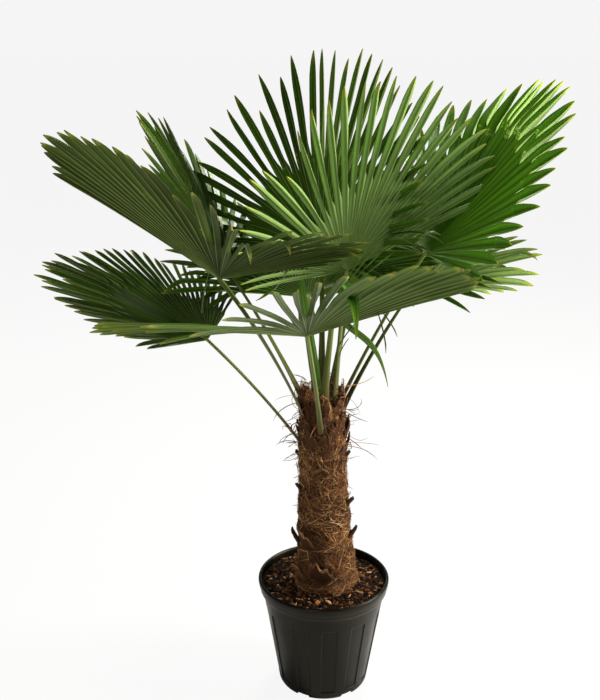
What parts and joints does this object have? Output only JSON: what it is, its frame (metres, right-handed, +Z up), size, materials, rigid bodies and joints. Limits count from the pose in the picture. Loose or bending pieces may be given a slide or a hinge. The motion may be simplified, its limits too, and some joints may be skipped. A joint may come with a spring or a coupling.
{
  "type": "potted windmill palm",
  "caption": "Windmill palm with a fibre-wrapped trunk and a round crown of fan-shaped leaves on long stalks, growing in a plain black nursery pot.",
  "frame": {"origin": "centre of the flat underside of the pot", "axes": "+Z up along the trunk, -Y towards the viewer's side of the plant, +X to the viewer's right"},
  "size_m": [1.3455, 1.5319, 1.682],
  "materials": {
    "pot_plastic": "satin black polypropylene",
    "bark_mulch": "loose bark and coir chips over potting soil",
    "trunk_fibre": "trunk wrapped in matted brown leaf fibre",
    "leaf_base": "dry cut leaf bases",
    "petiole_green": "smooth green leaf stalk",
    "leaf_green": "satin pleated leaf",
    "young_leaf_green": "glossy young leaf"
  },
  "bodies": {
    "root": {"arched_leaflet": "young_leaf_green", "blade_back_left": "leaf_green", "blade_back_right": "leaf_green", "blade_centre": "leaf_green", "blade_front_low": "leaf_green", "blade_left_back": "leaf_green", "blade_lower_left": "leaf_green", "blade_right_low": "leaf_green", "blade_right_upper": "leaf_green", "blade_top_back": "leaf_green", "blade_upper_left": "leaf_green", "blade_young": "young_leaf_green", "boot_back": "leaf_base", "boot_front": "leaf_base", "boot_front_high": "leaf_base", "boot_front_left": "leaf_base", "petiole_back_left": "petiole_green", "petiole_back_right": "petiole_green", "petiole_centre": "petiole_green", "petiole_front_low": "petiole_green", "petiole_left_back": "petiole_green", "petiole_lower_left": "petiole_green", "petiole_right_low": "petiole_green", "petiole_right_upper": "petiole_green", "petiole_top_back": "petiole_green", "petiole_upper_left": "petiole_green", "petiole_young": "petiole_green", "pot": "pot_plastic", "soil": "bark_mulch", "spear": "young_leaf_green", "stub_back_high": "leaf_base", "stub_back_mid": "leaf_base", "stub_left_high": "leaf_base", "stub_left_low": "leaf_base", "stub_left_mid": "leaf_base", "stub_right_high": "leaf_base", "stub_right_low": "leaf_base", "stub_right_mid": "leaf_base", "trunk": "trunk_fibre"}
  },
  "joints": []
}
